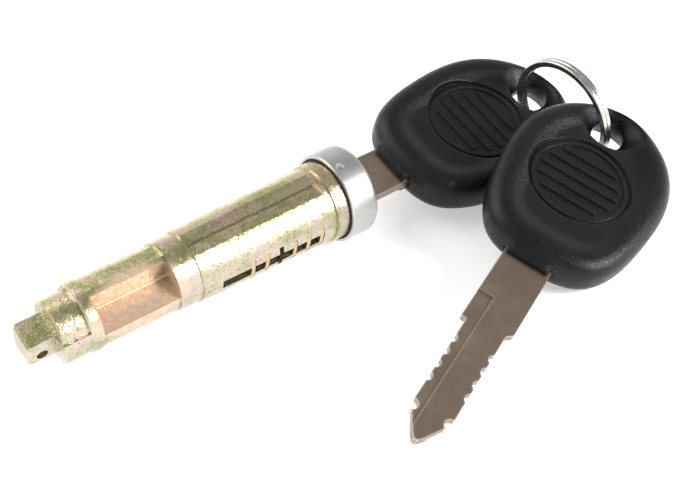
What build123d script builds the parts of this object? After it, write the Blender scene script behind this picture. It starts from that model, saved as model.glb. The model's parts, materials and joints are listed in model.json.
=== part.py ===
from build123d import *

import math
import os

# Tailgate lock cylinder: a die-cast plug with a wafer mechanism, its crimped face cap,
# the key that is in it, a split ring and the spare key, lying as they come to rest.
# Row frame, millimetres: +X along the plug's axis towards the key, +Z up from the table.
# The origin is on the plug's axis, at the middle of the neck behind the face cap.
# The lock and its key are drawn in the lock's own frame and then rolled about X:
# there the key's blade is 9.6 wide along Y and 2.0 thick along Z, and the near side is -Y.

# How the set lies
ROLL = 17.7
KEY_2_PLACE = (41.97, -27.96, -0.08)
KEY_2_TURN = 20.4
KEY_2_RISE = 6.5
KEY_2_ROLL = 17.4

# Plug: lengths from the neck to the tang, and radii
NECK_LENGTH = 2.7
BARREL_LENGTH = 29.5
COLLAR_LENGTH = 4.5
WAIST_LENGTH = 14.8
FLANGE_LENGTH = 2.3
HUB_LENGTH = 4.8
TANG_LENGTH = 5.3
GROOVE_LENGTH = 1.0
HEAD_LENGTH = 4.95
NECK_R = 7.95
BARREL_FRONT_R = 7.53
BARREL_BACK_R = 6.98
COLLAR_R = 6.66
WAIST_R = 6.25
FLANGE_R = 6.5
HUB_R = 5.6
GROOVE_R = 7.2
HEAD_R = 8.45
TANG_SIDE = 5.4
TANG_CHAMFER = 0.45
TANG_HOLE_R = 1.05
TANG_HOLE_FROM_END = 2.5
TANG_HOLE_DROP = 1.1
EDGE_R = 0.3

# Waist pocket: its wall, its floor's height at the wall and at the near side, and the two
# flats over it, as angle and distance
POCKET_WALL = 0.8
POCKET_FLOOR = (1.7, 1.35)
POCKET_REACH = 9.0
POCKET_DRAFT = 0.3
POCKET_CORNER_R = 0.35
WAIST_FLATS = ((75.0, 5.81), (108.0, 6.02))
LUG_R = 6.2
LUG_FROM = -40.0
LUG_TO = 28.0

# Channel along the top of the barrel
CHANNEL_HALF_ANGLE = 21.0
CHANNEL_BACK_DEPTH = 0.75
CHANNEL_FRONT_DEPTH = 0.62
CHANNEL_STOP = 1.2
CHANNEL_REACH = 4.5

# Key blade
BLADE_WIDTH = 9.6
BLADE_THICK = 2.0
BIT_WIDTH = 7.4
MILL_LINE = 1.6
MILL_DEPTH = 0.5
MILL_END = -34.6
BLADE_TIP = -67.3
SHOULDER_LEFT = -41.2
SHOULDER_RIGHT = -39.5
TIP_LENGTH = 4.4
TIP_STEP = 0.75
TIP_HALF = (1.1, 0.35)
SHANK_WIDTH = 9.0
SHANK_START = -21.5
SHANK_END = 7.0
SHANK_HOLES = (-14.0, -4.0)
SHANK_HOLE_R = 1.5
CUT_R = 1.15
CUT_DEPTHS = (1.25, 0.0, 0.6, 0.6, 0.6, 0.6)
KEY_CENTRE = 41.31

# Key head
KEY_HEAD_THICK = 8.0
KEY_HEAD_ROUND = 3.0
HEAD_INSET = 0.8
HEAD_SHIFT = (-0.5, -0.7)
DISH_INSET = 4.6
DISH_LEVEL = 2.9
DISH_SLOPE = 3.0
EMBLEM_R = 10.75
EMBLEM_LEVEL = 2.45
EMBLEM_RING = (9.2, 10.0)
RIB_COUNT = 5
RIB_PITCH = 2.9
RIB_WIDTH = 0.7
RIB_HEIGHT = 0.3
RIB_SPAN_R = 8.3
HOLE_CENTRE = 16.9
HOLE_HALF = (4.6, 3.4)
HOLE_MOUTH_HALF = (5.3, 7.2)
HOLE_FLARE_FROM = 1.0
ENTRY_SPAN = (-23.9, -20.0)
ENTRY_THICK = 4.4
ENTRY_WIDTH = 9.0
ENTRY_R = 0.6

# Keyway, wafer slots, wafers and their springs
KEYWAY_GAP = 0.12
KEYWAY_END = -27.0
KEYWAY_STEP = -0.3
KEYWAY_MOUTH = 6.3
SLIT = (-0.62, 1.45)
SLIT_FRONT = -4.35
SLOT_COUNT = 6
SLOT_FIRST = -20.45
SLOT_PITCH = 3.1
SLOT_WIDTH = 0.95
SLOT_SPAN = (-1.95, 2.95)
EMPTY_SLOT = 2
LUG_CHANNEL_TOP = 4.6
LUG_CHANNEL_NEAR = -2.2
WAFER_THICK = 0.8
WAFER_SPAN = (-1.85, 2.85)
WINDOW_NEAR = 3.8
WINDOW_FAR = 5.0
WINDOW_HALF = 1.15
WAFER_LUG = (2.0, 4.4)
SPRING_AXIS = 3.75
SPRING_BORE_R = 0.85
SPRING_BORE_END = 4.75
SPRING_COIL_R = 0.62
SPRING_WIRE_R = 0.12
SPRING_PITCH = 0.92

# Face cap, seal and shutter
CAP_R = 9.03
CAP_WALL = 0.58
CAP_BACK = 1.45
CAP_ROUND = 1.3
CAP_SLOT = (10.6, 2.9)
CAP_SLOT_R = 0.6
CAP_LIP = 0.15
DIMPLE_X = 2.95
DIMPLE_R = 1.25
DIMPLE_DEPTH = 0.6
SHUTTER_PIN_R = 0.5
SHUTTER_PIN_REACH = 6.3
SHUTTER_EYE_R = 0.9
SHUTTER_LEVEL = 2.15
SHUTTER_PLATE = (1.14, 1.7)
SHUTTER_LENGTH = 3.6
SHUTTER_HALF_WIDTH = 4.8
SHUTTER_CORNER_R = 0.8
SHUTTER_SPRING_GAP = (1.1, 2.9)
SHUTTER_COIL_R = 0.72
SHUTTER_WIRE_R = 0.1
SHUTTER_COIL_PITCH = 0.36
SHUTTER_COIL_LENGTH = 1.44
SHUTTER_COIL_END = 4.6
RECESS_HALF_WIDTH = 5.3
RECESS_TOP = 3.5

# Split ring
RING_CENTRE = (56.7, -11.0, 3.25)
RING_TILT = 6.6
RING_MEAN_R = 11.45
RING_WIRE = (1.0, 1.4)
RING_WIRE_ROUND = 0.3
RING_PITCH = 1.06

# Stations along X, worked out from the lengths
NECK_FRONT = NECK_LENGTH / 2
BARREL_FRONT = -NECK_LENGTH / 2
BARREL_BACK = BARREL_FRONT - BARREL_LENGTH
COLLAR_BACK = BARREL_BACK - COLLAR_LENGTH
WAIST_BACK = COLLAR_BACK - WAIST_LENGTH
FLANGE_BACK = WAIST_BACK - FLANGE_LENGTH
HUB_BACK = FLANGE_BACK - HUB_LENGTH
TANG_END = HUB_BACK - TANG_LENGTH
HEAD_BACK = NECK_FRONT + GROOVE_LENGTH
HEAD_FRONT = HEAD_BACK + HEAD_LENGTH
CAP_FRONT = HEAD_FRONT + CAP_WALL
SHUTTER_X = HEAD_FRONT - 1.2
BEYOND = 20.0


def block(x, y, z):
    """A box between two limits on each axis."""
    size = [b - a for a, b in (x, y, z)]
    middle = [(a + b) / 2 for a, b in (x, y, z)]
    return Pos(*middle) * Box(*size)


def rod_y(radius, x, z, y_from, y_to):
    """A cylinder along Y."""
    length = y_to - y_from
    return Pos(x, (y_from + y_to) / 2, z) * Rot(90, 0, 0) * Cylinder(radius, length)


def turned(outline):
    """A closed outline of (x, radius) points turned about X."""
    return revolve(make_face(Polyline(*outline, close=True)), Axis.X)


def along_x(points, x_from, x_to, round_at=None, round_r=0.0):
    """A closed outline of (y, z) points extruded along X."""
    face = make_face(Polyline(*points, close=True))
    if round_at is not None:
        corner = face.vertices().sort_by_distance((*points[round_at], 0))[0]
        face = fillet(corner, round_r)
    place = Plane((x_from, 0, 0), x_dir=(0, 1, 0), z_dir=(1, 0, 0))
    return extrude(place * face, x_to - x_from)


def barrel_radius(x):
    """The cast barrel tapers towards the tang."""
    share = (x - BARREL_BACK) / BARREL_LENGTH
    return BARREL_BACK_R + (BARREL_FRONT_R - BARREL_BACK_R) * share


def coil(radius, wire_r, pitch, length):
    """An open helical spring along Z from the origin."""
    path = Helix(pitch, length, radius)
    section = Plane(path @ 0, z_dir=path % 0) * Circle(wire_r)
    return sweep(section, path, is_frenet=True)


def beyond_flat(angle, distance, x_from, x_to):
    """What lies outside a flat whose normal points at an angle from the near side."""
    slab = block((x_from, x_to), (-BEYOND, BEYOND), (distance, BEYOND))
    return Rot(90 - angle, 0, 0) * slab


# Key profile: the two milled sides leave a Z-shaped section
def blade_section(half_width, gap=0.0):
    """The blade's section as (y, z) points; a gap all round makes the keyway."""
    half = BLADE_THICK / 2 + gap
    low = half - MILL_DEPTH
    line = MILL_LINE + gap
    wide = half_width + gap
    return [
        (-wide, half), (line, half), (line, low), (wide, low),
        (wide, -half), (-line, -half), (-line, -low), (-wide, -low),
    ]


# Plug casting
def turned_plug():
    """Everything on the plug that is round about its axis."""
    outline = [
        (HUB_BACK, 0), (HUB_BACK, HUB_R - EDGE_R), (HUB_BACK + EDGE_R, HUB_R),
        (FLANGE_BACK, HUB_R), (FLANGE_BACK, FLANGE_R - EDGE_R),
        (FLANGE_BACK + EDGE_R, FLANGE_R), (WAIST_BACK - EDGE_R, FLANGE_R),
        (WAIST_BACK, FLANGE_R - EDGE_R), (WAIST_BACK, WAIST_R), (COLLAR_BACK, WAIST_R),
        (COLLAR_BACK, COLLAR_R), (BARREL_BACK, COLLAR_R), (BARREL_BACK, BARREL_BACK_R),
        (BARREL_FRONT, BARREL_FRONT_R), (BARREL_FRONT, NECK_R), (NECK_FRONT, NECK_R),
        (NECK_FRONT, GROOVE_R), (HEAD_BACK, GROOVE_R), (HEAD_BACK, HEAD_R),
        (HEAD_FRONT - CAP_ROUND, HEAD_R), (HEAD_FRONT, HEAD_R - CAP_ROUND), (HEAD_FRONT, 0),
    ]
    return turned(outline)


def tang():
    """The square drive tang with its cross hole."""
    half = TANG_SIDE / 2
    square = block((TANG_END, HUB_BACK + 1), (-half, half), (-half, half))
    end_edges = square.faces().sort_by(Axis.X)[0].edges()
    square = chamfer(end_edges, TANG_CHAMFER)
    hole = rod_y(TANG_HOLE_R, TANG_END + TANG_HOLE_FROM_END, -TANG_HOLE_DROP, -BEYOND, BEYOND)
    return square, hole


def stop_lug():
    """The rotation stop: part of the flange's rim carried on over the hub."""
    ring = Cylinder(LUG_R, HUB_LENGTH + 0.1, rotation=(0, 90, 0))
    ring = Pos(FLANGE_BACK - HUB_LENGTH / 2 - 0.05, 0, 0) * ring
    near = beyond_flat(LUG_TO + 90, 0, HUB_BACK - 1, FLANGE_BACK + 1)
    far = beyond_flat(LUG_FROM - 90, 0, HUB_BACK - 1, FLANGE_BACK + 1)
    return ring - near - far


def waist_pocket():
    """The notch in the waist that takes the lock's linkage."""
    at_wall, at_near_side = POCKET_FLOOR
    points = [
        (-POCKET_WALL + POCKET_DRAFT, POCKET_REACH), (-POCKET_WALL, at_wall),
        (-POCKET_REACH, at_near_side), (-POCKET_REACH, POCKET_REACH),
    ]
    return along_x(points, WAIST_BACK, COLLAR_BACK, round_at=1, round_r=POCKET_CORNER_R)


def channel():
    """The shallow V channel along the top of the barrel, running out at the front."""
    def section(x, depth):
        radius = barrel_radius(x)
        half = radius * math.sin(math.radians(CHANNEL_HALF_ANGLE))
        edge = radius * math.cos(math.radians(CHANNEL_HALF_ANGLE))
        crease = radius - depth
        rise = (edge - crease) / half * CHANNEL_REACH
        left = (-CHANNEL_REACH, crease + rise)
        right = (CHANNEL_REACH, crease + rise)
        points = [left, (0, crease), right, (0, BEYOND)]
        place = Plane((x, 0, 0), x_dir=(0, 1, 0), z_dir=(1, 0, 0))
        return place * make_face(Polyline(*points, close=True))
    front = BARREL_FRONT - CHANNEL_STOP
    ends = [section(BARREL_BACK, CHANNEL_BACK_DEPTH), section(front, CHANNEL_FRONT_DEPTH)]
    return loft(ends, ruled=True)


def keyway():
    """The keyway: narrow along the barrel, full width in front of the key's stop."""
    narrow = along_x(blade_section(BIT_WIDTH / 2, KEYWAY_GAP), KEYWAY_END, KEYWAY_STEP)
    wide = along_x(blade_section(BLADE_WIDTH / 2, KEYWAY_GAP), KEYWAY_STEP, HEAD_FRONT + 1)
    mouth_y = BLADE_WIDTH / 2 + KEYWAY_GAP
    mouth_z = BLADE_THICK / 2 + KEYWAY_GAP
    mouth = block((KEYWAY_MOUTH, HEAD_FRONT + 1), (-mouth_y, mouth_y), (-mouth_z, mouth_z))
    slit = block((KEYWAY_END, SLIT_FRONT), (-BEYOND, -BIT_WIDTH / 2), SLIT)
    return narrow + wide + mouth + slit


def slot_x(index):
    return SLOT_FIRST + SLOT_PITCH * index


def wafer_slots():
    """The wafer slots, each with a lug channel from the far side and a spring bore."""
    half = SLOT_WIDTH / 2
    cuts = []
    for index in range(SLOT_COUNT):
        x = slot_x(index)
        cuts.append(block((x - half, x + half), (-BEYOND, BEYOND), SLOT_SPAN))
        lug = (SLOT_SPAN[1] - 0.1, LUG_CHANNEL_TOP)
        cuts.append(block((x - half, x + half), (LUG_CHANNEL_NEAR, BEYOND), lug))
        cuts.append(rod_y(SPRING_BORE_R, x, SPRING_AXIS, -SPRING_BORE_END, BEYOND))
    return cuts


def shutter_recess():
    """The space over the keyway's mouth where the shutter swings."""
    back = SHUTTER_X - SHUTTER_LENGTH - 0.6
    span = (-RECESS_HALF_WIDTH, RECESS_HALF_WIDTH)
    return block((back, HEAD_FRONT + 1), span, (BLADE_THICK / 2, RECESS_TOP))


def dimple(depth, side):
    """A punch mark in the cap's skirt, as a cone on the blade's flat side."""
    tip = CAP_R - depth
    height = DIMPLE_R * 1.2
    cone = Cone(DIMPLE_R * 0.35, DIMPLE_R * 1.1, height, align=(Align.CENTER, Align.CENTER, Align.MIN))
    return Rot(0 if side > 0 else 180, 0, 0) * Pos(DIMPLE_X, 0, tip) * cone


def plug():
    square, hole = tang()
    body = turned_plug() + square + stop_lug()
    for angle, distance in WAIST_FLATS:
        body -= beyond_flat(angle, distance, WAIST_BACK, COLLAR_BACK)
    body -= waist_pocket()
    body -= channel()
    body -= hole
    body -= keyway()
    for cut in wafer_slots():
        body -= cut
    body -= shutter_recess()
    body -= rod_y(SHUTTER_PIN_R, SHUTTER_X, SHUTTER_LEVEL, -SHUTTER_PIN_REACH, SHUTTER_PIN_REACH)
    for side in (1, -1):
        body -= dimple(DIMPLE_DEPTH + CAP_WALL, side)
    return body


# Face cap, seal ring and shutter
def face_cap():
    inner_r = HEAD_R
    outline = [
        (CAP_BACK, inner_r), (CAP_BACK, CAP_R - CAP_LIP), (CAP_BACK + CAP_LIP, CAP_R),
        (CAP_FRONT, CAP_R), (CAP_FRONT, 0), (HEAD_FRONT, 0),
        (HEAD_FRONT, inner_r - CAP_ROUND), (HEAD_FRONT - CAP_ROUND, inner_r),
    ]
    face = make_face(Polyline(*outline, close=True))
    corner = face.vertices().sort_by_distance((CAP_FRONT, CAP_R, 0))[0]
    shell = revolve(fillet(corner, CAP_ROUND), Axis.X)
    slot = Pos(CAP_FRONT, 0, 0) * Rot(0, 90, 0) * Box(CAP_SLOT[1], CAP_SLOT[0], 3)
    slot = fillet(slot.edges().filter_by(Axis.X), CAP_SLOT_R)
    front = HEAD_FRONT - CAP_ROUND
    under_dimple = turned([
        (HEAD_BACK, GROOVE_R), (HEAD_BACK, HEAD_R + 0.1), (front, HEAD_R + 0.1), (front, GROOVE_R),
    ])
    for side in (1, -1):
        shell += dimple(DIMPLE_DEPTH + CAP_WALL, side) & under_dimple
        shell -= dimple(DIMPLE_DEPTH, side)
    return shell - slot


def seal_ring():
    return turned([(CAP_BACK, GROOVE_R), (CAP_BACK, HEAD_R), (HEAD_BACK, HEAD_R), (HEAD_BACK, GROOVE_R)])


def shutter_pin():
    return rod_y(SHUTTER_PIN_R, SHUTTER_X, SHUTTER_LEVEL, -SHUTTER_PIN_REACH, SHUTTER_PIN_REACH)


def shutter():
    """The flap that closes the key slot, held open over the blade."""
    wide = SHUTTER_HALF_WIDTH
    plate = block((SHUTTER_X - SHUTTER_LENGTH, SHUTTER_X), (-wide, wide), SHUTTER_PLATE)
    end = plate.faces().sort_by(Axis.X)[0].edges().filter_by(Axis.Z)
    plate = fillet(end, SHUTTER_CORNER_R)
    eye = rod_y(SHUTTER_EYE_R, SHUTTER_X, SHUTTER_LEVEL, -wide, wide)
    gap_x, gap_y = SHUTTER_SPRING_GAP
    gap_top = SHUTTER_LEVEL + SHUTTER_EYE_R + 1
    spring_gap = block((SHUTTER_X - gap_x, SHUTTER_X + gap_x), (gap_y, wide + 1), (0, gap_top))
    bore = rod_y(SHUTTER_PIN_R + 0.05, SHUTTER_X, SHUTTER_LEVEL, -wide - 1, wide + 1)
    return plate + eye - bore - spring_gap


def shutter_spring():
    """The torsion coil that closes the shutter."""
    turns = coil(SHUTTER_COIL_R, SHUTTER_WIRE_R, SHUTTER_COIL_PITCH, SHUTTER_COIL_LENGTH)
    return Pos(SHUTTER_X, SHUTTER_COIL_END, SHUTTER_LEVEL) * Rot(90, 0, 0) * turns


# Wafers and their springs
def wafer(index):
    """One wafer: a plate with a window round the key's blade, and a spring lug."""
    x = slot_x(index)
    half = WAFER_THICK / 2
    slab = block((x - half, x + half), (-8, 8), WAFER_SPAN)
    reach = barrel_radius(x) - 0.05
    ends = Pos(x, 0, 0) * Rot(0, 90, 0) * Cylinder(reach, 2)
    body = slab & ends
    lug_reach, lug_top = WAFER_LUG
    body += block((x - half, x + half), (0, lug_reach), (WINDOW_HALF, lug_top))
    window = block((x - 1, x + 1), (-WINDOW_NEAR, WINDOW_FAR), (-WINDOW_HALF, WINDOW_HALF))
    return body - window


def wafer_spring(index):
    """The coil spring between a wafer's lug and the closed end of its bore."""
    length = SPRING_BORE_END - 2 * SPRING_WIRE_R - 0.1
    turns = coil(SPRING_COIL_R, SPRING_WIRE_R, SPRING_PITCH, length)
    return Pos(slot_x(index), -SPRING_WIRE_R - 0.05, SPRING_AXIS) * Rot(90, 0, 0) * turns


# Keys, drawn with the head's centre at the origin and the tip towards -X
def blade_outline():
    """The blade from above: the shank in the head, the bitted edges and the tip."""
    wide = BLADE_WIDTH / 2
    bit = BIT_WIDTH / 2
    shank = SHANK_WIDTH / 2
    tip_back = BLADE_TIP + TIP_LENGTH
    nose = BLADE_TIP + 1
    tip_wide, tip_narrow = TIP_HALF
    points = [
        (SHANK_END, shank), (SHANK_START, shank), (SHANK_START, wide), (SHOULDER_LEFT, wide),
        (SHOULDER_LEFT - 0.15, bit), (tip_back, bit), (tip_back, bit - TIP_STEP),
        (nose, tip_wide), (BLADE_TIP, tip_narrow), (BLADE_TIP, -tip_narrow), (nose, -tip_wide),
        (tip_back, TIP_STEP - bit), (tip_back, -bit), (SHOULDER_RIGHT - 1.1, -bit),
        (SHOULDER_RIGHT, -wide), (SHANK_START, -wide), (SHANK_START, -shank), (SHANK_END, -shank),
    ]
    face = make_face(Polyline(*points, close=True))
    for index, depth in enumerate(CUT_DEPTHS):
        along = slot_x(index) - KEY_CENTRE
        centre = bit - depth + CUT_R
        if depth:
            face -= Pos(along, centre) * Circle(CUT_R)
            face -= Pos(along, -centre) * Circle(CUT_R)
    return face


def key_blade():
    half = BLADE_THICK / 2
    body = extrude(Pos(0, 0, -half) * blade_outline(), BLADE_THICK)
    for along in SHANK_HOLES:
        body -= Pos(along, 0, 0) * Cylinder(SHANK_HOLE_R, 4)
    mill = block((BLADE_TIP - 1, MILL_END), (MILL_LINE, 9), (half - MILL_DEPTH, half + 1))
    body -= mill
    body -= Rot(180, 0, 0) * mill
    return body


def head_outline(inset=0.0):
    """The head from above, symmetric about the blade, drawn in towards its centre."""
    near = [(22.1, 8.6), (17.4, 13.5), (11.0, 16.6), (3.8, 17.6), (-6.0, 16.75), (-15.0, 14.3)]
    near += [(-20.2, 10.6), (-22.5, 5.0)]
    far = [(x, -y) for x, y in reversed(near)]
    loop = []
    for x, y in [(25.0, 0), *near, (-22.8, 0), *far]:
        share = 1 - (HEAD_INSET + inset) / math.hypot(x, y)
        loop.append((x * share + HEAD_SHIFT[0], y * share + HEAD_SHIFT[1]))
    return make_face(Spline(*loop, periodic=True))


def head_face(body, side):
    """The dish, the round panel with its ring and grip ribs on one face of the head."""
    turn = Rot(0 if side > 0 else 180, 0, 0)
    half = KEY_HEAD_THICK / 2
    rise = half - DISH_LEVEL
    rim = Pos(0, 0, half + rise) * head_outline(DISH_INSET - DISH_SLOPE)
    floor = Pos(0, 0, DISH_LEVEL) * head_outline(DISH_INSET + DISH_SLOPE)
    body -= turn * loft([rim, floor])
    low = (Align.CENTER, Align.CENTER, Align.MIN)
    panel = turn * Pos(0, 0, EMBLEM_LEVEL)
    body -= panel * Cylinder(EMBLEM_R, 2, align=low)
    raised = Cylinder(EMBLEM_RING[1], RIB_HEIGHT, align=low)
    raised -= Cylinder(EMBLEM_RING[0], RIB_HEIGHT, align=low)
    for index in range(RIB_COUNT):
        along = (index - (RIB_COUNT - 1) / 2) * RIB_PITCH
        reach = math.sqrt(RIB_SPAN_R**2 - along**2)
        raised += Pos(along, 0, 0) * Box(RIB_WIDTH, 2 * reach, RIB_HEIGHT, align=low)
    return body + panel * raised


def ring_hole():
    """The split ring's hole, flared towards both faces."""
    half = KEY_HEAD_THICK / 2
    narrow = Ellipse(*HOLE_HALF)
    mouth = Ellipse(*HOLE_MOUTH_HALF)
    hole = extrude(Pos(0, 0, -half - 1) * narrow, 2 * half + 2)
    flare = loft([Pos(0, 0, HOLE_FLARE_FROM) * narrow, Pos(0, 0, half) * mouth])
    return Pos(HOLE_CENTRE, 0, 0) * (hole + flare + Rot(180, 0, 0) * flare)


def key_head(blade):
    half = KEY_HEAD_THICK / 2
    body = extrude(Pos(0, 0, -half) * head_outline(), KEY_HEAD_THICK)
    rims = body.faces().sort_by(Axis.Z)
    body = fillet(rims[0].edges() + rims[-1].edges(), KEY_HEAD_ROUND)
    for side in (1, -1):
        body = head_face(body, side)
    wide = ENTRY_WIDTH / 2
    thick = ENTRY_THICK / 2
    entry = block(ENTRY_SPAN, (-wide, wide), (-thick, thick))
    entry = fillet(entry.faces().sort_by(Axis.X)[0].edges(), ENTRY_R)
    body += entry
    body -= ring_hole()
    return body - blade


# Split ring: two turns of flattened wire
def split_ring():
    path = Helix(RING_PITCH, 2 * RING_PITCH, RING_MEAN_R)
    thick, wide = RING_WIRE
    wire = RectangleRounded(wide, thick, RING_WIRE_ROUND)
    start = Plane(path @ 0, x_dir=(1, 0, 0), z_dir=path % 0)
    ring = sweep(start * wire, path, is_frenet=True)
    ring = Pos(0, 0, -RING_PITCH) * ring
    return Pos(*RING_CENTRE) * Rot(0, 90 - RING_TILT, 0) * ring


def export(name, shape):
    shape.label = name
    export_step(shape, f"parts/{name}.step")
    print(name, round(shape.volume, 2))


def main():
    os.makedirs("parts", exist_ok=True)
    lie = Rot(ROLL, 0, 0)
    in_lock = lie * Pos(KEY_CENTRE, 0, 0)
    beside = Pos(*KEY_2_PLACE) * Rot(0, 0, KEY_2_TURN) * Rot(0, -KEY_2_RISE, 0) * Rot(KEY_2_ROLL, 0, 0)
    blade = key_blade()
    head = key_head(blade)
    export("plug", lie * plug())
    export("face_cap", lie * face_cap())
    export("seal_ring", lie * seal_ring())
    export("shutter", lie * shutter())
    export("shutter_pin", lie * shutter_pin())
    export("shutter_spring", lie * shutter_spring())
    fitted = [index for index in range(SLOT_COUNT) if index != EMPTY_SLOT]
    for number, index in enumerate(fitted, start=1):
        export(f"wafer_{number}", lie * wafer(index))
        export(f"wafer_spring_{number}", lie * wafer_spring(index))
    export("key_1_blade", in_lock * blade)
    export("key_1_head", in_lock * head)
    export("key_2_blade", beside * blade)
    export("key_2_head", beside * head)
    export("split_ring", split_ring())


main()
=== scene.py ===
# %% [markdown]
# # A tailgate lock cylinder with its keys
#
# The object is a die-cast lock plug with a crimped face cap, the key that is in it, and a
# spare key beside it on a split ring. A lock is all measured sizes, so its solids come from
# CAD and are loaded as a fixed frame. This lesson adds the light and the camera, and gives
# each solid the finish of the real piece: a yellow passivated casting, satin and milled
# metal, stamped brass and grained black plastic. All lengths are in metres.

import json
import math

import bpy
from mathutils import Matrix, Vector


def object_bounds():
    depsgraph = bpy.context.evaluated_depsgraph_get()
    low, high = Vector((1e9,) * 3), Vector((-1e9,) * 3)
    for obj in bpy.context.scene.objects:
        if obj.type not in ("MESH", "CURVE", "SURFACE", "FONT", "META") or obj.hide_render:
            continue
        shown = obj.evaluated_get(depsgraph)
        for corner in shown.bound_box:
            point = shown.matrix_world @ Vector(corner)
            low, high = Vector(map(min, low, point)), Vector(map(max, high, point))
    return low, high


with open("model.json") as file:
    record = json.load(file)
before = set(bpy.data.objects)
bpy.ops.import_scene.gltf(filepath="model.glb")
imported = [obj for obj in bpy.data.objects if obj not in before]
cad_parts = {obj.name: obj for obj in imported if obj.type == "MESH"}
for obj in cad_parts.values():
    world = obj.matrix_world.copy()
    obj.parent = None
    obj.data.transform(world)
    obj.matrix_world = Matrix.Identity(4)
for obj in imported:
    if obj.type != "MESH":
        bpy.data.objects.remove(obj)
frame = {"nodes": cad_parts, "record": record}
cad_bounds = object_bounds()

# %% [markdown]
# ## Camera
#
# A camera can be placed by eye, or from points of the photograph whose places on the object
# are known. Here the second way was used: the lock's axis, its collars and the keys gave the
# camera's place, its turn and its lens, so the render has the photograph's perspective.

# %% Camera
CAMERA_PLACE = (-0.098317, -0.129006, 0.123727)
CAMERA_RIGHT = Vector((0.77993, -0.62586, 0.0))
CAMERA_UP = Vector((0.40285, 0.50202, 0.7653))
CAMERA_BACK = Vector((-0.47897, -0.59689, 0.64367))
LENS_MM = 55.64
SENSOR_MM = 36.0
NEAREST_SEEN = 0.01

turn = Matrix((CAMERA_RIGHT, CAMERA_UP, CAMERA_BACK)).transposed()
camera_data = bpy.data.cameras.new("camera")
camera_data.lens = LENS_MM
camera_data.sensor_width = SENSOR_MM
camera_data.sensor_fit = "HORIZONTAL"
camera_data.clip_start = NEAREST_SEEN
camera = bpy.data.objects.new("camera", camera_data)
camera.matrix_world = Matrix.Translation(CAMERA_PLACE) @ turn.to_4x4()
bpy.context.collection.objects.link(camera)
bpy.context.scene.camera = camera
print("camera looks down by", round(math.degrees(math.asin(CAMERA_BACK.z)), 1), "degrees")

# %% [markdown]
# ## Table
#
# The lock and its keys lie on plain white. A backdrop that curves up behind them would suit a
# low camera, but this one looks steeply down and sees no horizon, so a wide flat sheet is
# enough. It lies a hair below the lowest point of the object, so the two don't flicker.

# %% Table
FLOOR_Z = cad_bounds[0][2]
TABLE_GAP = 0.00002
STAGE_REACH = 3.0

scene = bpy.context.scene
scene.view_settings.view_transform = "Standard"

bpy.ops.object.select_all(action="DESELECT")
bpy.ops.mesh.primitive_plane_add(size=2 * STAGE_REACH, location=(0, 0, FLOOR_Z - TABLE_GAP))
table = bpy.context.object
table.name = "table"
print("table at", round(1000 * FLOOR_Z, 2), "mm")

# %% [markdown]
# The table has to look white, but more light would wash out the object. So the sheet is pale
# matt paint that also glows a little, and only for the rays that come from the camera, a
# reflection or clear glass. The glow whitens what is seen and lights nothing, and the shadow
# in the paint stays.

# %% Table paint
TABLE_PAINT = (0.93, 0.93, 0.93, 1)
TABLE_ROUGHNESS = 0.9
TABLE_SPECULAR = 0.1
TABLE_GLOW = 0.42


def feed(tree, socket, value):
    """Links an input to another node's output, or sets it to a plain number or colour."""
    if hasattr(value, "is_linked"):
        tree.links.new(value, socket)
    elif socket.type == "RGBA":
        socket.default_value = (*value, 1)
    else:
        socket.default_value = value


def math_node(tree, operation, a, b=0.0, clamp=False):
    """One step of arithmetic on sockets or plain numbers."""
    node = tree.nodes.new("ShaderNodeMath")
    node.operation = operation
    node.use_clamp = clamp
    feed(tree, node.inputs[0], a)
    feed(tree, node.inputs[1], b)
    return node.outputs[0]


table_paint = bpy.data.materials.new("table_white")
table_paint.use_nodes = True
paint_tree = table_paint.node_tree
table_shader = paint_tree.nodes["Principled BSDF"]
table_shader.inputs["Base Color"].default_value = TABLE_PAINT
table_shader.inputs["Roughness"].default_value = TABLE_ROUGHNESS
table_shader.inputs["Specular IOR Level"].default_value = TABLE_SPECULAR
table_shader.inputs["Emission Color"].default_value = (1, 1, 1, 1)
rays = paint_tree.nodes.new("ShaderNodeLightPath")
seen = rays.outputs["Is Camera Ray"]
for kind in ("Is Glossy Ray", "Is Transmission Ray"):
    seen = math_node(paint_tree, "MAXIMUM", seen, rays.outputs[kind])
glow = math_node(paint_tree, "MULTIPLY", seen, TABLE_GLOW)
paint_tree.links.new(glow, table_shader.inputs["Emission Strength"])
table.data.materials.append(table_paint)
print("table paint", TABLE_PAINT[0], "and glow", TABLE_GLOW)

# %% [markdown]
# ## Lamps
#
# In the photograph a bright band runs along the round barrel, while the far side fades
# softly. One lamp alone would leave that side black. So a small square lamp in front on the
# right draws the band, and a large one behind on the left fills the rest at a lower level.

# %% Lamps
LAMP_AIM = Vector((0.0, -0.01, 0.0))


def soft_lamp(name, place, size, power):
    """A square area lamp that looks at the object."""
    data = bpy.data.lights.new(name, "AREA")
    data.shape = "SQUARE"
    data.size = size
    data.energy = power
    lamp = bpy.data.objects.new(name, data)
    lamp.location = place
    lamp.rotation_euler = (LAMP_AIM - Vector(place)).to_track_quat("-Z", "Y").to_euler()
    bpy.context.collection.objects.link(lamp)
    print(name, "of", power, "W,", round((LAMP_AIM - Vector(place)).length, 2), "m away")


soft_lamp("front_lamp", place=(0.30, -0.47, 0.29), size=0.22, power=3.4)
soft_lamp("back_lamp", place=(-0.22, 0.42, 0.50), size=0.60, power=2.6)

# %% [markdown]
# ## Surroundings
#
# Metal shows what stands round it. A picture of a real room would give it that, but a plain
# fade does too and needs no file: bright near the horizon and dim overhead. It makes the flat
# tops of the casting darker than its flanks, as they are in the photograph.

# %% Surroundings
ROOM_LEVELS = [(0.0, 0.95), (0.25, 0.80), (0.70, 0.34)]


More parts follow.
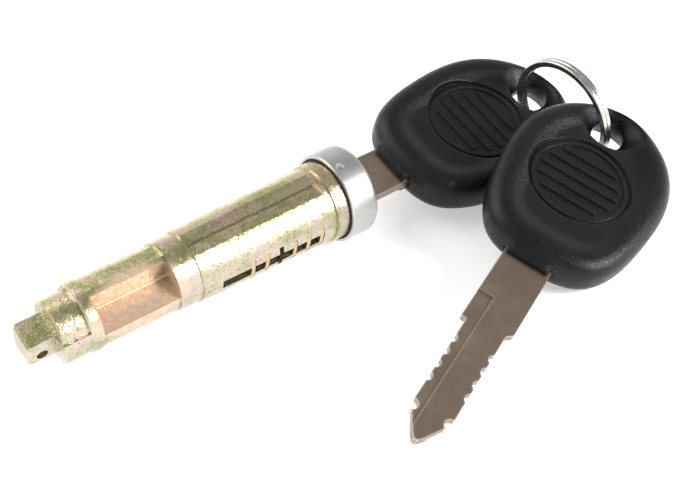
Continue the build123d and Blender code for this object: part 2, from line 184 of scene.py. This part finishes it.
def ramp(tree, value, stops):
    """Turns a value into a colour; each stop is a value and its colour."""
    node = tree.nodes.new("ShaderNodeValToRGB")
    marks = node.color_ramp.elements
    while len(marks) < len(stops):
        marks.new(0.5)
    for mark, (place, colour) in zip(marks, stops):
        mark.position = place
        mark.color = (*colour, 1)
    tree.links.new(value, node.inputs["Fac"])
    return node.outputs["Color"]


def grey_ramp(tree, value, stops):
    """The same with plain levels, for masks, roughness and light."""
    return ramp(tree, value, [(place, (level, level, level)) for place, level in stops])


def axes_of(tree, vector):
    """The X, Y and Z outputs of a vector."""
    node = tree.nodes.new("ShaderNodeSeparateXYZ")
    tree.links.new(vector, node.inputs[0])
    return node.outputs


world = bpy.data.worlds.new("studio_room")
scene.world = world
world.use_nodes = True
room = world.node_tree
direction = room.nodes.new("ShaderNodeTexCoord").outputs["Generated"]
fade = grey_ramp(room, axes_of(room, direction)["Z"], ROOM_LEVELS)
room.links.new(fade, room.nodes["Background"].inputs["Color"])
print("room fades from", ROOM_LEVELS[0][1], "to", ROOM_LEVELS[-1][1])

# %% [markdown]
# ## The skin of cast and moulded parts
#
# No casting, stamping or moulding is quite even: it has broad waves where the material
# flowed and a fine grain from the tool. A photographed texture would need an unwrapped mesh
# and has one scale only. Noise on the object's own coordinates needs neither, so it is used
# here, as a node group that is built once and placed in most finishes with its own values.
# The scale of a noise counts its cells in a metre: at 1000 they are about a millimetre.

# %% Skin
def new_group(name, inputs, outputs):
    """An empty shader group with its sockets; returns its tree and its two ends."""
    group = bpy.data.node_groups.new(name, "ShaderNodeTree")
    for label, kind, value in inputs:
        socket = group.interface.new_socket(label, in_out="INPUT", socket_type=kind)
        socket.default_value = value
    for label, kind in outputs:
        group.interface.new_socket(label, in_out="OUTPUT", socket_type=kind)
    return group, group.nodes.new("NodeGroupInput"), group.nodes.new("NodeGroupOutput")


def noise(tree, where, scale, detail, roughness, distortion=0.0):
    """Soft random values between 0 and 1 over the object."""
    node = tree.nodes.new("ShaderNodeTexNoise")
    node.inputs["Detail"].default_value = detail
    node.inputs["Roughness"].default_value = roughness
    node.inputs["Distortion"].default_value = distortion
    feed(tree, node.inputs["Scale"], scale)
    tree.links.new(where, node.inputs["Vector"])
    return node.outputs["Fac"]


skin_group, skin_in, skin_out = new_group(
    "skin",
    [("Vector", "NodeSocketVector", (0, 0, 0)), ("Wave", "NodeSocketFloat", 400.0),
     ("Grain", "NodeSocketFloat", 4000.0), ("Grain Share", "NodeSocketFloat", 0.4)],
    [("Height", "NodeSocketFloat")],
)
skin_place = skin_in.outputs["Vector"]
waves = noise(skin_group, skin_place, skin_in.outputs["Wave"], detail=4.0, roughness=0.55)
grain = noise(skin_group, skin_place, skin_in.outputs["Grain"], detail=2.0, roughness=0.6)
grain_part = math_node(skin_group, "MULTIPLY", grain, skin_in.outputs["Grain Share"])
skin_height = math_node(skin_group, "ADD", waves, grain_part)
skin_group.links.new(skin_height, skin_out.inputs["Height"])
print("group", skin_group.name, "with", len(skin_group.nodes), "nodes")

# %% [markdown]
# ## Rubbed edges and a painted edge highlight
#
# Handling wears a film or a plating through at the edges first. Blender's Pointiness finds
# edges, but only on a mesh whose faces are joined, and CAD meshes are loose triangles. So
# this group compares the normal of a small virtual bevel with the true one: they differ only
# near an edge. A noise breaks the line up, as wear does. On the key blades the same mask is
# set wider and stronger, and there the bright edge is partly wear and partly a painted
# highlight.

# %% Rubbed edges
RUB_SAMPLES = 4
RUB_BREAKS = 900.0


def dot(tree, a, b):
    """How far one vector reaches along another; the second may be a plain direction."""
    node = tree.nodes.new("ShaderNodeVectorMath")
    node.operation = "DOT_PRODUCT"
    feed(tree, node.inputs[0], a)
    feed(tree, node.inputs[1], b)
    return node.outputs["Value"]


edge_wear_and_highlight_group, rub_in, rub_out = new_group(
    "edge_wear_and_highlight",
    [("Vector", "NodeSocketVector", (0, 0, 0)), ("Width", "NodeSocketFloat", 0.0004),
     ("Gain", "NodeSocketFloat", 6.0)],
    [("Mask", "NodeSocketFloat")],
)
rounded = edge_wear_and_highlight_group.nodes.new("ShaderNodeBevel")
rounded.samples = RUB_SAMPLES
edge_wear_and_highlight_group.links.new(rub_in.outputs["Width"], rounded.inputs["Radius"])
true_face = edge_wear_and_highlight_group.nodes.new("ShaderNodeNewGeometry")
same = dot(edge_wear_and_highlight_group, rounded.outputs["Normal"], true_face.outputs["Normal"])
turned_away = math_node(edge_wear_and_highlight_group, "SUBTRACT", 1.0, same)
broken = noise(edge_wear_and_highlight_group, rub_in.outputs["Vector"], RUB_BREAKS, detail=3.0, roughness=0.6)
uneven = math_node(edge_wear_and_highlight_group, "MULTIPLY", turned_away, broken)
rubbed = math_node(edge_wear_and_highlight_group, "MULTIPLY", uneven, rub_in.outputs["Gain"], clamp=True)
edge_wear_and_highlight_group.links.new(rubbed, rub_out.inputs["Mask"])
print("group", edge_wear_and_highlight_group.name, "with", len(edge_wear_and_highlight_group.nodes), "nodes")

# %% [markdown]
# ## How a finish is built up
#
# A finish goes on as in the workshop: first the ground colour, then what lies on it, and last
# the surface. All of it could be wired by hand in the shader editor. Small functions do the
# same here, so that each finish below reads as a list of its layers. A finish is kept under
# the name of the slot that it is for.

# %% Start of a finish
finishes = {}


def new_finish(name):
    """An empty material; returns its tree, its shader and the place on the object."""
    material = bpy.data.materials.new(name)
    material.use_nodes = True
    finishes[name] = material
    tree = material.node_tree
    where = tree.nodes.new("ShaderNodeTexCoord").outputs["Object"]
    return tree, tree.nodes["Principled BSDF"], where


def mixed(tree, share, ground, top):
    """Lays one colour over another; each is a socket or a plain colour."""
    node = tree.nodes.new("ShaderNodeMix")
    node.data_type = "RGBA"
    # This node keeps sockets for numbers, vectors and colours; 6, 7 and 2 are the colours.
    feed(tree, node.inputs[0], share)
    feed(tree, node.inputs[6], ground)
    feed(tree, node.inputs[7], top)
    return node.outputs[2]


# %% [markdown]
# ## Plug: the colour of the film, and painted reflection
#
# The plug is a zinc die casting under a yellow chromate film. The film is thin enough to
# show interference colours, which run into each other in soft clouds. One colour with a tint
# would look painted. So one cloudy noise drives two ramps of film colours, and the way the
# surface faces chooses between them: gold and olive on top, greyer pink on the flanks. That
# choice by facing is painted reflection: it lays into the colour the tones that the tops and
# flanks show from what is round them. A finer noise pales the film where it is thinnest.

# %% Plug film
# The cloud colours are the film's own; the difference between the flank ramp and the top ramp
# is painted reflection.
FLANK_FILM_AND_PAINTED_REFLECTION = [
    (0.34, (0.44, 0.43, 0.26)), (0.46, (0.58, 0.53, 0.39)),
    (0.54, (0.66, 0.57, 0.48)), (0.66, (0.67, 0.50, 0.47)),
]
TOP_FILM_AND_PAINTED_REFLECTION = [
    (0.36, (0.50, 0.49, 0.21)), (0.46, (0.66, 0.61, 0.32)),
    (0.54, (0.79, 0.66, 0.40)), (0.64, (0.84, 0.62, 0.49)),
]
THIN_FILM = (0.68, 0.65, 0.54)

tree, shader, where = new_finish("plug_zinc")
clouds = noise(tree, where, scale=260.0, detail=4.0, roughness=0.6, distortion=0.6)
facing = tree.nodes.new("ShaderNodeTexCoord").outputs["Normal"]
# Painted reflection: the way the surface faces picks the top colours or the flank colours.
upward_painted_reflection = grey_ramp(tree, axes_of(tree, facing)["Z"], [(0.22, 0.0), (0.66, 1.0)])
film_and_painted_reflection = mixed(tree, upward_painted_reflection, ramp(tree, clouds, FLANK_FILM_AND_PAINTED_REFLECTION), ramp(tree, clouds, TOP_FILM_AND_PAINTED_REFLECTION))
fine_noise = noise(tree, where, scale=900.0, detail=4.0, roughness=0.65)
thinness = grey_ramp(tree, fine_noise, [(0.50, 0.0), (0.70, 0.6)])
film_and_painted_reflection = mixed(tree, thinness, film_and_painted_reflection, THIN_FILM)
print("plug film with", len(FLANK_FILM_AND_PAINTED_REFLECTION) + len(TOP_FILM_AND_PAINTED_REFLECTION), "colours")

# %% [markdown]
# ## Plug: the seam
#
# A dark line runs along the shallow channel on top of the barrel. It could be cut into the
# solid, but it is only half a millimetre wide and has no depth that shows, so it is painted.
# The lock lies rolled about its axis, so the line is found in directions that roll with it:
# across the channel, and up from the axis. The fine noise makes it wander a little.

# %% Plug seam
LOCK_ROLL = math.radians(17.7)
SEAM_HALF_WIDTH = 0.00022
SEAM_NONE_AT = SEAM_HALF_WIDTH * 1.8
SEAM_FULL_AT = SEAM_HALF_WIDTH * 0.5
SEAM_WANDER = 0.0009
NOISE_MIDDLE = 0.5
SEAM_ABOVE_AXIS = 0.0055
SEAM_BACK = -0.0308
SEAM_FRONT = -0.0032
SEAM_STRENGTH = 0.75
SEAM_BROWN = (0.26, 0.17, 0.14)


def fade_in(tree, value, none_at, full_at, curve="LINEAR"):
    """Rises from 0 to 1 as a value goes from one number to another."""
    node = tree.nodes.new("ShaderNodeMapRange")
    node.interpolation_type = curve
    node.inputs["From Min"].default_value = none_at
    node.inputs["From Max"].default_value = full_at
    tree.links.new(value, node.inputs["Value"])
    return node.outputs[0]


across = dot(tree, where, (0, math.cos(LOCK_ROLL), math.sin(LOCK_ROLL)))
above = dot(tree, where, (0, -math.sin(LOCK_ROLL), math.cos(LOCK_ROLL)))
along = axes_of(tree, where)["X"]
either_way = math_node(tree, "SUBTRACT", fine_noise, NOISE_MIDDLE)
wander = math_node(tree, "MULTIPLY", either_way, SEAM_WANDER)
off_line = math_node(tree, "ABSOLUTE", math_node(tree, "ADD", across, wander))
seam = fade_in(tree, off_line, SEAM_NONE_AT, SEAM_FULL_AT)
for limit in (
    math_node(tree, "GREATER_THAN", above, SEAM_ABOVE_AXIS),
    math_node(tree, "LESS_THAN", along, SEAM_FRONT),
    math_node(tree, "GREATER_THAN", along, SEAM_BACK),
    SEAM_STRENGTH,
):
    seam = math_node(tree, "MULTIPLY", seam, limit)
film_and_painted_reflection = mixed(tree, seam, film_and_painted_reflection, SEAM_BROWN)
print("seam is", round(1000 * (SEAM_FRONT - SEAM_BACK), 1), "mm long")

# %% [markdown]
# ## Plug: the pocket at the tail
#
# The film lies thicker and duller in the open pocket, where nothing rubs it: peach, and with
# little of the metal's shine. It could be a material of its own, but the pocket is part of
# the same solid and the change is gradual. So a soft-edged ellipsoid marks the place.

# %% Plug pocket
POCKET_CENTRE = (-0.0428, -0.0062, 0.0030)
POCKET_REACH = (0.0092, 0.0062, 0.0062)
POCKET_PEACH = [(0.40, (0.78, 0.52, 0.38)), (0.60, (0.82, 0.64, 0.45))]
MASK_NONE_AT = 1.15
MASK_FULL_AT = 0.85


def near_mask(tree, where, centre, reach):
    """White inside a soft-edged ellipsoid round a place on the object."""
    away = where
    for operation, amount in (("SUBTRACT", centre), ("DIVIDE", reach)):
        node = tree.nodes.new("ShaderNodeVectorMath")
        node.operation = operation
        node.inputs[1].default_value = amount
        tree.links.new(away, node.inputs[0])
        away = node.outputs[0]
    distance = tree.nodes.new("ShaderNodeVectorMath")
    distance.operation = "LENGTH"
    tree.links.new(away, distance.inputs[0])
    return fade_in(
        tree, distance.outputs["Value"], MASK_NONE_AT, MASK_FULL_AT, "SMOOTHSTEP")


pocket = near_mask(tree, where, POCKET_CENTRE, POCKET_REACH)
film_and_painted_reflection = mixed(tree, pocket, film_and_painted_reflection, ramp(tree, fine_noise, POCKET_PEACH))
print("pocket mask reaches", round(1000 * POCKET_REACH[0], 1), "mm along the plug")

# %% [markdown]
# ## Plug: specks and rubbed edges
#
# Fine olive specks cover the outside, where pores of the casting hold more of the film. They
# could be placed one by one, but there are thousands, so a fine noise is cut off high, which
# leaves only its peaks. At the edges the film is rubbed through and the bare zinc shows,
# nearly silver.

# %% Plug specks and edges
SPECK_SCALE = 2300.0
SPECK_OLIVE = (0.25, 0.23, 0.12)
BARE_ZINC = (0.86, 0.84, 0.76)


def place_group(tree, group, **values):
    """Places a shared effect in a finish with its own values; returns its output."""
    node = tree.nodes.new("ShaderNodeGroup")
    node.node_tree = group
    for label, value in values.items():
        feed(tree, node.inputs[label.replace("_", " ")], value)
    return node.outputs[0]


def wear_and_highlight_edges(tree, where, colour, bare, width, gain):
    """Lays the bare material over the edges, on the key blades also as a painted highlight;
    returns the new colour.
    """
    mask = place_group(tree, edge_wear_and_highlight_group, Vector=where, Width=width, Gain=gain)
    return mixed(tree, mask, colour, bare)


specks = noise(tree, where, SPECK_SCALE, detail=3.0, roughness=0.65)
speck_mask = grey_ramp(tree, specks, [(0.54, 0.0), (0.68, 0.75)])
outside_pocket = math_node(tree, "SUBTRACT", 1.0, pocket)
speck_share = math_node(tree, "MULTIPLY", speck_mask, outside_pocket)
film_and_painted_reflection = mixed(tree, speck_share, film_and_painted_reflection, SPECK_OLIVE)
film_and_painted_reflection = wear_and_highlight_edges(tree, where, film_and_painted_reflection, BARE_ZINC, width=0.0003, gain=4.0)
tree.links.new(film_and_painted_reflection, shader.inputs["Base Color"])
print("specks about", round(1000 / SPECK_SCALE, 1), "mm apart")

# %% [markdown]
# ## Plug: shine, gloss and skin
#
# The last layer is the surface itself. The thicker film hides more of the metal in the
# pocket, so the shine drops there. The gloss varies in patches of about a millimetre, and the
# skin is coarse, because the real casting looks sandy close up. Its relief could be moved
# into the mesh, but bump is enough for one this small: it tilts the normals and leaves the
# measured solid as it is.

# %% Plug surface
def bump(tree, shader, height, strength, distance):
    """Makes the surface rise and fall by a height; returns the node."""
    node = tree.nodes.new("ShaderNodeBump")
    node.inputs["Strength"].default_value = strength
    node.inputs["Distance"].default_value = distance
    tree.links.new(height, node.inputs["Height"])
    tree.links.new(node.outputs["Normal"], shader.inputs["Normal"])
    return node


def add_skin(tree, shader, where, wave, grain, share, strength, distance):
    """Gives a finish the skin of a cast or moulded part; returns the bump node."""
    height = place_group(
        tree, skin_group, Vector=where, Wave=wave, Grain=grain, Grain_Share=share)
    return bump(tree, shader, height, strength, distance)


metal_share = grey_ramp(tree, pocket, [(0.0, 0.95), (1.0, 0.45)])
tree.links.new(metal_share, shader.inputs["Metallic"])
patches = noise(tree, where, scale=1100.0, detail=3.0, roughness=0.6)
gloss = grey_ramp(tree, patches, [(0.35, 0.17), (0.65, 0.34)])
tree.links.new(gloss, shader.inputs["Roughness"])
add_skin(
    tree, shader, where, wave=1000.0, grain=3000.0, share=1.0,
    strength=0.5, distance=0.00011)
print("plug_zinc with", len(tree.nodes), "nodes")

# %% [markdown]
# ## Face cap
#
# The cap is drawn from sheet steel and crimped over the plug. Its satin grey could be one
# plain metal colour, but it would look new and flat. Soft clouds, a fine skin and slightly
# brighter edges make it a part that has been handled.

# %% Cap finish
CAP_DARK = (0.54, 0.54, 0.53)
CAP_LIGHT = (0.68, 0.68, 0.67)
CAP_BARE = (0.82, 0.82, 0.8)


def cloudy(tree, where, scale, dark, light, detail=3.0):
    """A colour that drifts between two near shades in soft clouds."""
    clouds = noise(tree, where, scale, detail, roughness=0.6)
    return ramp(tree, clouds, [(0.3, dark), (0.7, light)])


tree, shader, where = new_finish("cap_steel")
steel = cloudy(tree, where, scale=300.0, dark=CAP_DARK, light=CAP_LIGHT)
steel = wear_and_highlight_edges(tree, where, steel, CAP_BARE, width=0.0003, gain=6.0)
tree.links.new(steel, shader.inputs["Base Color"])
shader.inputs["Metallic"].default_value = 0.95
shader.inputs["Roughness"].default_value = 0.38
add_skin(
    tree, shader, where, wave=900.0, grain=6000.0, share=0.5,
    strength=0.25, distance=0.0001)
print("cap_steel with", len(tree.nodes), "nodes")

# %% [markdown]
# ## Wafers, springs and ring
#
# The wafers are stamped brass, their springs fine steel wire, and the split ring is thicker
# wire with bright nickel on it. All three are bare metal that differs in colour, gloss and
# skin, so one function makes the metal and each piece adds its own skin. The springs are too
# thin for one.

# %% Wafers, springs and ring
WAFER_SHADES = ((0.60, 0.42, 0.24), (0.78, 0.60, 0.38))
SPRING_SHADES = ((0.42, 0.42, 0.42), (0.62, 0.62, 0.62))
RING_SHADES = ((0.60, 0.57, 0.52), (0.82, 0.80, 0.77))


def bare_metal(name, scale, shades, roughness, detail=3.0):
    """A metal finish with clouds between two shades; returns what a skin needs."""
    tree, shader, where = new_finish(name)
    dark, light = shades
    colour = cloudy(tree, where, scale, dark, light, detail)
    tree.links.new(colour, shader.inputs["Base Color"])
    shader.inputs["Metallic"].default_value = 1.0
    shader.inputs["Roughness"].default_value = roughness
    print(name, "with roughness", roughness)
    return tree, shader, where


wafer = bare_metal("wafer_brass", 700.0, WAFER_SHADES, roughness=0.35)
add_skin(*wafer, wave=1500.0, grain=8000.0, share=0.5, strength=0.2, distance=0.00006)
bare_metal("spring_steel", 900.0, SPRING_SHADES, roughness=0.3)
ring = bare_metal("ring_nickel", 500.0, RING_SHADES, roughness=0.22, detail=4.0)
add_skin(*ring, wave=700.0, grain=5000.0, share=0.3, strength=0.15, distance=0.0001)

# %% [markdown]
# ## Rubber seal
#
# A thin ring of black rubber sits behind the cap. It could have a grain and dust of its own,
# but hardly any of it shows, so a cloudy, nearly black colour that is matt is enough.

# %% Seal finish
SEAL_DARK = (0.012, 0.012, 0.012)
SEAL_LIGHT = (0.03, 0.03, 0.03)

tree, shader, where = new_finish("seal_rubber")
rubber = cloudy(tree, where, scale=800.0, dark=SEAL_DARK, light=SEAL_LIGHT)
tree.links.new(rubber, shader.inputs["Base Color"])
shader.inputs["Roughness"].default_value = 0.7
print("seal_rubber with", len(tree.nodes), "nodes")

# %% [markdown]
# ## Key blades: the metal
#
# The blades are nickel silver, warm grey and browned by hands. One flat colour would make
# them look new. So a broad noise drives the metal's own shades, and a finer one lays the
# brown over it in small stains.

# %% Blade metal
BLADE_SHADES = [
    (0.30, (0.36, 0.265, 0.195)), (0.5, (0.41, 0.305, 0.225)), (0.70, (0.47, 0.365, 0.285)),
]
BLADE_BROWN = (0.30, 0.22, 0.16)

tree, shader, where = new_finish("key_nickel")
clouds = noise(tree, where, scale=120.0, detail=3.0, roughness=0.5, distortion=0.4)
nickel = ramp(tree, clouds, BLADE_SHADES)
stains = noise(tree, where, scale=900.0, detail=4.0, roughness=0.65)
stain_mask = grey_ramp(tree, stains, [(0.50, 0.0), (0.75, 0.5)])
nickel = mixed(tree, stain_mask, nickel, BLADE_BROWN)
shader.inputs["Metallic"].default_value = 1.0
print("blade shades", len(BLADE_SHADES))

# %% [markdown]
# ## Key blades: milling strokes, and rubbed edges with a painted highlight
#
# The milling cutter leaves fine bright strokes. Separate scratches could be drawn, but a
# noise that is stretched in one direction, here along the lock's axis, gives hundreds of
# them. It is read at two places and the stronger value is kept, so the strokes lie close
# together. The same strokes drive the colour, the gloss and a very shallow bump.

# %% Blade strokes
STROKE_TURNS = (0.0, 20.4)
STROKE_STRETCH = (0.06, 1.0, 1.0)
STROKE_SCALE = 4200.0
STROKE_BRIGHT = (0.66, 0.56, 0.46)
BARE_NICKEL_AND_PAINTED_HIGHLIGHT = (0.88, 0.82, 0.74)

readings = []
for degrees in STROKE_TURNS:
    # A small scale makes long cells. The node scales first and turns after, so the turn
    # doesn't turn the strokes: it only picks the place that is read.
    laid = tree.nodes.new("ShaderNodeMapping")
    laid.inputs["Rotation"].default_value = (0, 0, -math.radians(degrees))
    laid.inputs["Scale"].default_value = STROKE_STRETCH
    tree.links.new(where, laid.inputs["Vector"])
    readings.append(
        noise(tree, laid.outputs["Vector"], STROKE_SCALE, detail=2.0, roughness=0.6))
strokes = math_node(tree, "MAXIMUM", *readings)
stroke_mask = grey_ramp(tree, strokes, [(0.56, 0.0), (0.72, 0.55)])
nickel = mixed(tree, stroke_mask, nickel, STROKE_BRIGHT)
# The bright edges are partly worn bare nickel and partly a painted highlight along the milled
# edges.
nickel = wear_and_highlight_edges(tree, where, nickel, BARE_NICKEL_AND_PAINTED_HIGHLIGHT, width=0.00045, gain=9.0)
tree.links.new(nickel, shader.inputs["Base Color"])
gloss = grey_ramp(tree, strokes, [(0.40, 0.38), (0.70, 0.26)])
tree.links.new(gloss, shader.inputs["Roughness"])
bump(tree, shader, strokes, strength=0.3, distance=0.00004)
print("key_nickel with", len(tree.nodes), "nodes")

# %% [markdown]
# ## Key heads: grained plastic
#
# The heads are moulded in black plastic. The mould was spark-eroded, which leaves a fine
# even grain that breaks up the highlights, so the black is never a mirror. The grain is too
# shallow to model, so it is the skin's bump again, with finer waves than on the metal. The
# colour hardly varies, the gloss varies more.

# %% Head plastic
HEAD_DARK = (0.0050, 0.0050, 0.0064)
HEAD_LIGHT = (0.0090, 0.0090, 0.0108)
HEAD_SPECULAR = 0.32

tree, shader, where = new_finish("head_plastic")
black = cloudy(tree, where, scale=200.0, dark=HEAD_DARK, light=HEAD_LIGHT)
tree.links.new(black, shader.inputs["Base Color"])
patches = noise(tree, where, scale=1500.0, detail=3.0, roughness=0.6)
gloss = grey_ramp(tree, patches, [(0.35, 0.24), (0.65, 0.38)])
tree.links.new(gloss, shader.inputs["Roughness"])
shader.inputs["Specular IOR Level"].default_value = HEAD_SPECULAR
grained = add_skin(
    tree, shader, where, wave=2200.0, grain=3600.0, share=1.2,
    strength=0.5, distance=0.00013)
print("head_plastic with", len(tree.nodes), "nodes")

# %% [markdown]
# ## Key heads: softened creases
#
# The dished faces of a real head flow into the rim. In the solids they meet it in a crease,
# and rounding them there would cost many faces. A Bevel node rounds the normals only: widely
# over the dish and its rim, and hardly at all on the round panels, whose ribs have to stay
# crisp. Its normal goes into the grain's bump, so the grain lies on the softened shape.

# %% Softened creases
PANEL_CENTRES = ((0.04131, 0.0, 0.0), (0.04197, -0.02796, -0.00008))
PANEL_REACH = (0.0125, 0.0125, 0.0125)
DISH_SOFTNESS = 0.0024
PANEL_SOFTNESS = 0.0002
SOFT_SAMPLES = 8

panels = [near_mask(tree, where, centre, PANEL_REACH) for centre in PANEL_CENTRES]
outside_panels = math_node(tree, "SUBTRACT", 1.0, math_node(tree, "MAXIMUM", *panels))
dish_part = math_node(tree, "MULTIPLY", outside_panels, DISH_SOFTNESS)
softened = tree.nodes.new("ShaderNodeBevel")
softened.samples = SOFT_SAMPLES
tree.links.new(math_node(tree, "ADD", dish_part, PANEL_SOFTNESS), softened.inputs["Radius"])
tree.links.new(softened.outputs["Normal"], grained.inputs["Normal"])
print("creases softened by up to", round(1000 * (DISH_SOFTNESS + PANEL_SOFTNESS), 1), "mm")

# %% [markdown]
# ## Dressing the frame
#
# The record of the part names a material slot for each solid. The finishes could be given by
# hand, one solid after another, but a loop over the record can't forget one. Every CAD node
# gets the finish of its slot in place of the plain one that it came with, and its mesh stays
# untouched.

# %% Give every CAD node its finish
for part in frame["record"]["subparts"]:
    node = frame["nodes"][part["node"]]
    node.data.materials.clear()
    node.data.materials.append(finishes[part["material_slot"]])
